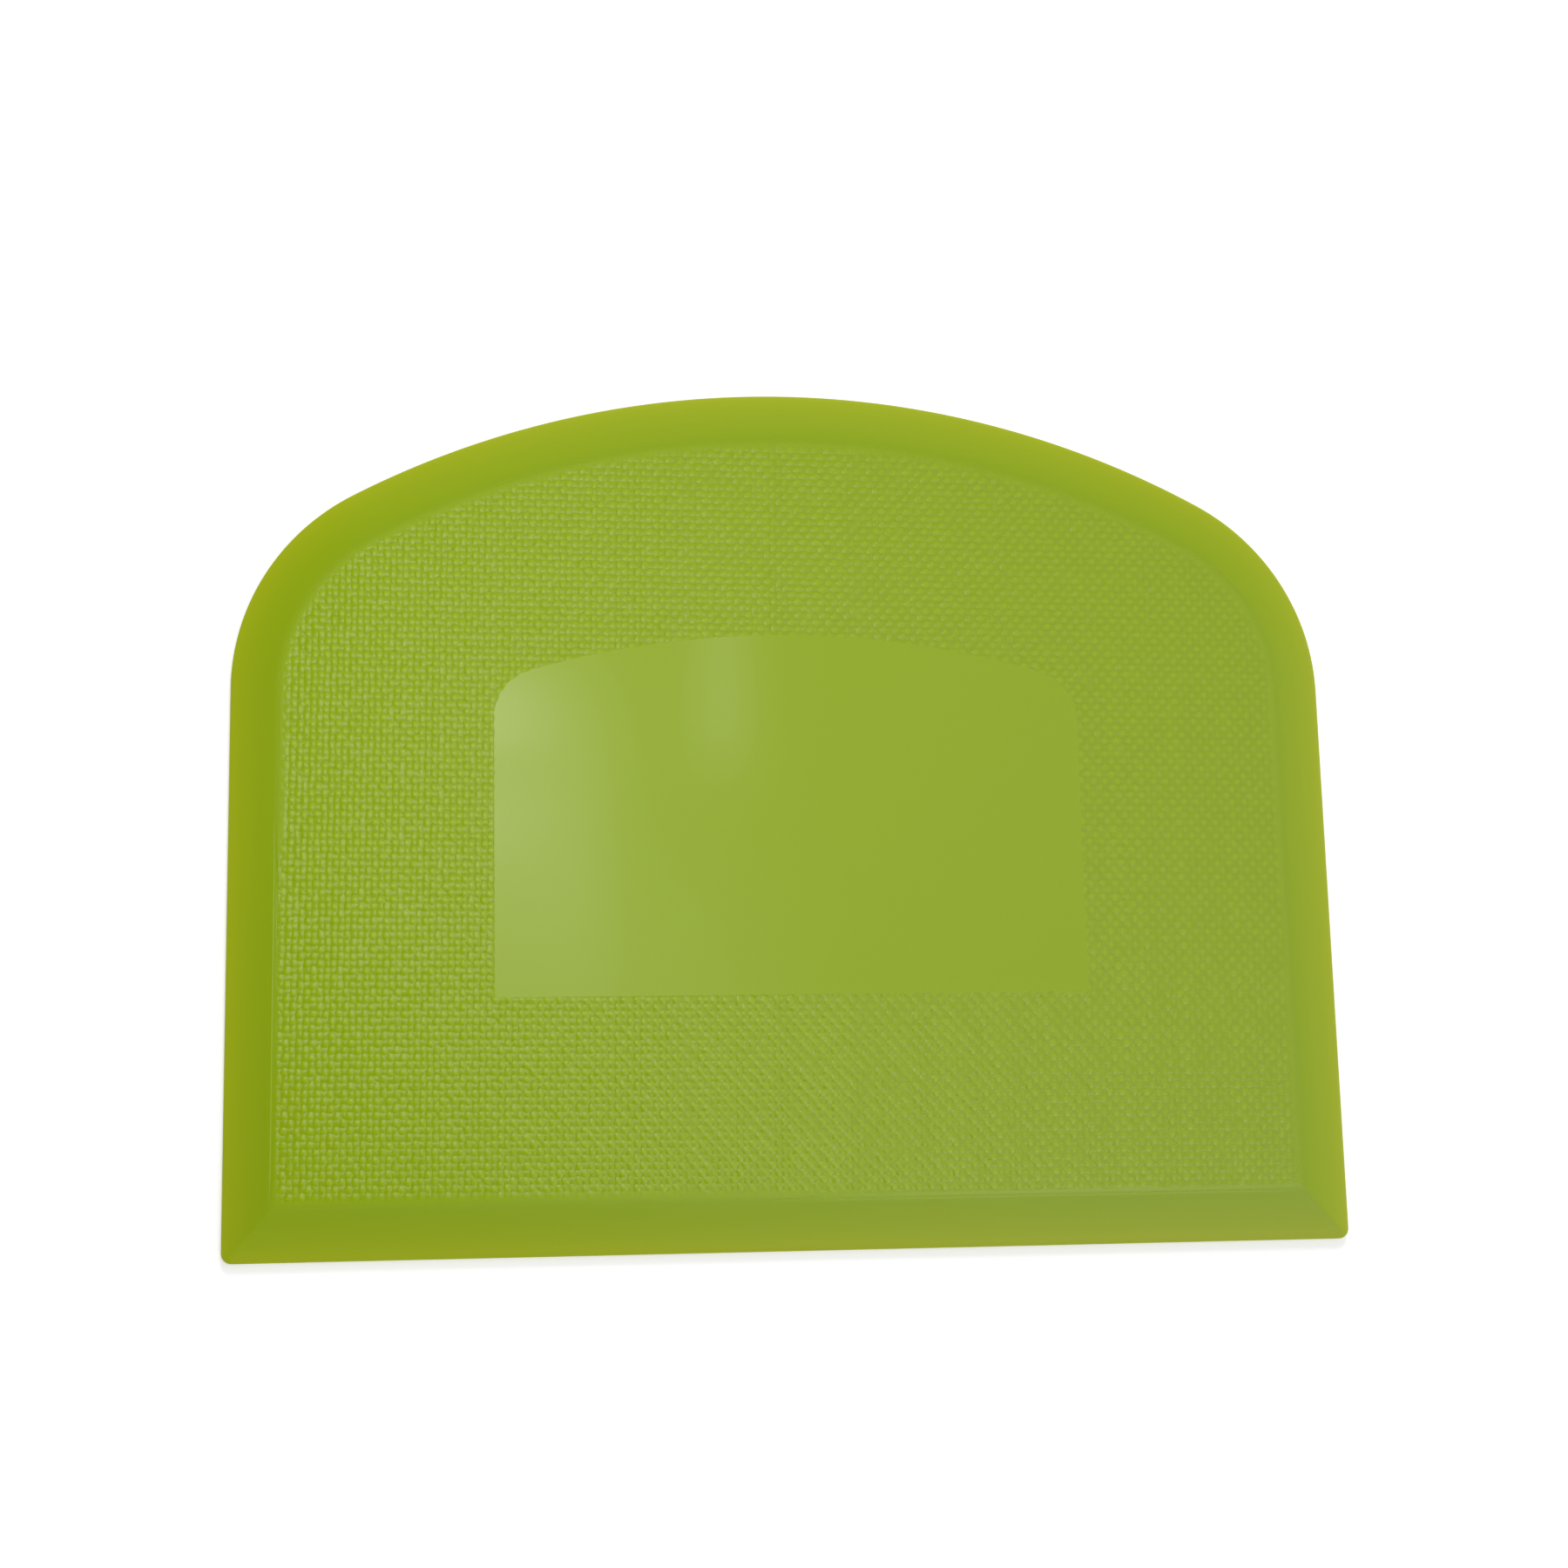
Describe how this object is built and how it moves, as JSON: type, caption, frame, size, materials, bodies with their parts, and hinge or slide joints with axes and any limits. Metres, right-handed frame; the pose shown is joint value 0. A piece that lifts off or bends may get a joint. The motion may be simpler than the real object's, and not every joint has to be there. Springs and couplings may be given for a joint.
{
  "type": "dough scraper",
  "caption": "Flat flexible plastic dough and bowl scraper with a straight edge, a rounded crown, a tapered rim, a linen-textured face and a smooth middle panel.",
  "frame": {"origin": "middle of the flat back, which the plate lies on: the bottom centre of its box", "axes": "+X along the straight scraping edge, +Y from that edge towards the rounded crown, +Z out of the textured face"},
  "size_m": [0.12, 0.0944, 0.002],
  "materials": {
    "lime_plastic": "satin"
  },
  "bodies": {
    "root": {"scraper_plate": "lime_plastic"}
  },
  "joints": []
}
